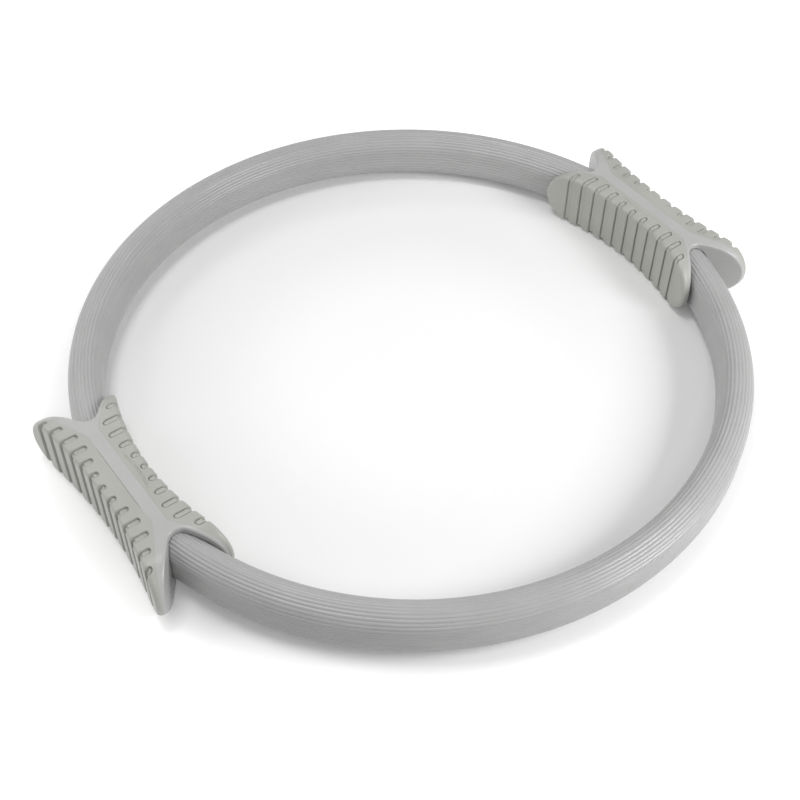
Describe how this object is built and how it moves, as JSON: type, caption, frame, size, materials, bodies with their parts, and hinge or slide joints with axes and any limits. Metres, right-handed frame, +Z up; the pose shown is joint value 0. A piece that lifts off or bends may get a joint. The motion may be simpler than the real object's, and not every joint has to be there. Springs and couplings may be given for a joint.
{
  "type": "pilates ring",
  "caption": "Springy pilates ring: a fibreglass hoop in ribbed soft sleeves, with opposite double-sided padded grips that are squeezed together or pressed apart.",
  "frame": {"origin": "on the floor, under the ring's centre, where the grips' undersides rest", "axes": "+X through the middles of both grips, towards the right one, +Y across the hoop, +Z up along the ring's axis"},
  "size_m": [0.401, 0.38, 0.036],
  "materials": {
    "pad": "matt moulded soft rubber, warm grey",
    "core": "satin moulded plastic, neutral grey",
    "sleeve": "satin extruded foam rubber with fine ribs, grey",
    "fibreglass": "pultruded fibreglass strip",
    "steel": "zinc-plated steel"
  },
  "bodies": {
    "hoop": {"band_inner": "fibreglass", "band_outer": "fibreglass"},
    "right_grip": {"right_core_upper": "core", "right_core_lower": "core", "right_pad_outer": "pad", "right_pad_inner": "pad", "right_clamp_plate_inner": "steel", "right_clamp_plate_outer": "steel", "right_clamp_rivets": "steel", "right_core_screws": "steel"},
    "left_grip": {"left_core_upper": "core", "left_core_lower": "core", "left_pad_outer": "pad", "left_pad_inner": "pad", "left_clamp_plate_inner": "steel", "left_clamp_plate_outer": "steel", "left_clamp_rivets": "steel", "left_core_screws": "steel"},
    "front_sleeve": {"sleeve_front": "sleeve"},
    "back_sleeve": {"sleeve_back": "sleeve"}
  },
  "joints": [
    {"name": "right_press", "type": "slide", "parent": "hoop", "child": "right_grip", "axis": [-1, 0, 0], "range_m": [-0.01, 0.035], "stiffness_N_per_m": 4250, "deforming": ["band_inner", "band_outer", "sleeve_front", "sleeve_back"]},
    {"name": "left_press", "type": "slide", "parent": "hoop", "child": "left_grip", "axis": [1, 0, 0], "range_m": [-0.01, 0.035], "stiffness_N_per_m": 4250},
    {"name": "front_bow", "type": "slide", "parent": "hoop", "child": "front_sleeve", "axis": [0, -1, 0], "range_m": [-0.0092, 0.0322]},
    {"name": "back_bow", "type": "slide", "parent": "hoop", "child": "back_sleeve", "axis": [0, 1, 0], "range_m": [-0.0092, 0.0322]}
  ],
  "couplings": [
    {"joint": "left_press", "follows": "right_press", "ratio": 1},
    {"joint": "front_bow", "follows": "right_press", "ratio": 0.92},
    {"joint": "back_bow", "follows": "right_press", "ratio": 0.92}
  ]
}
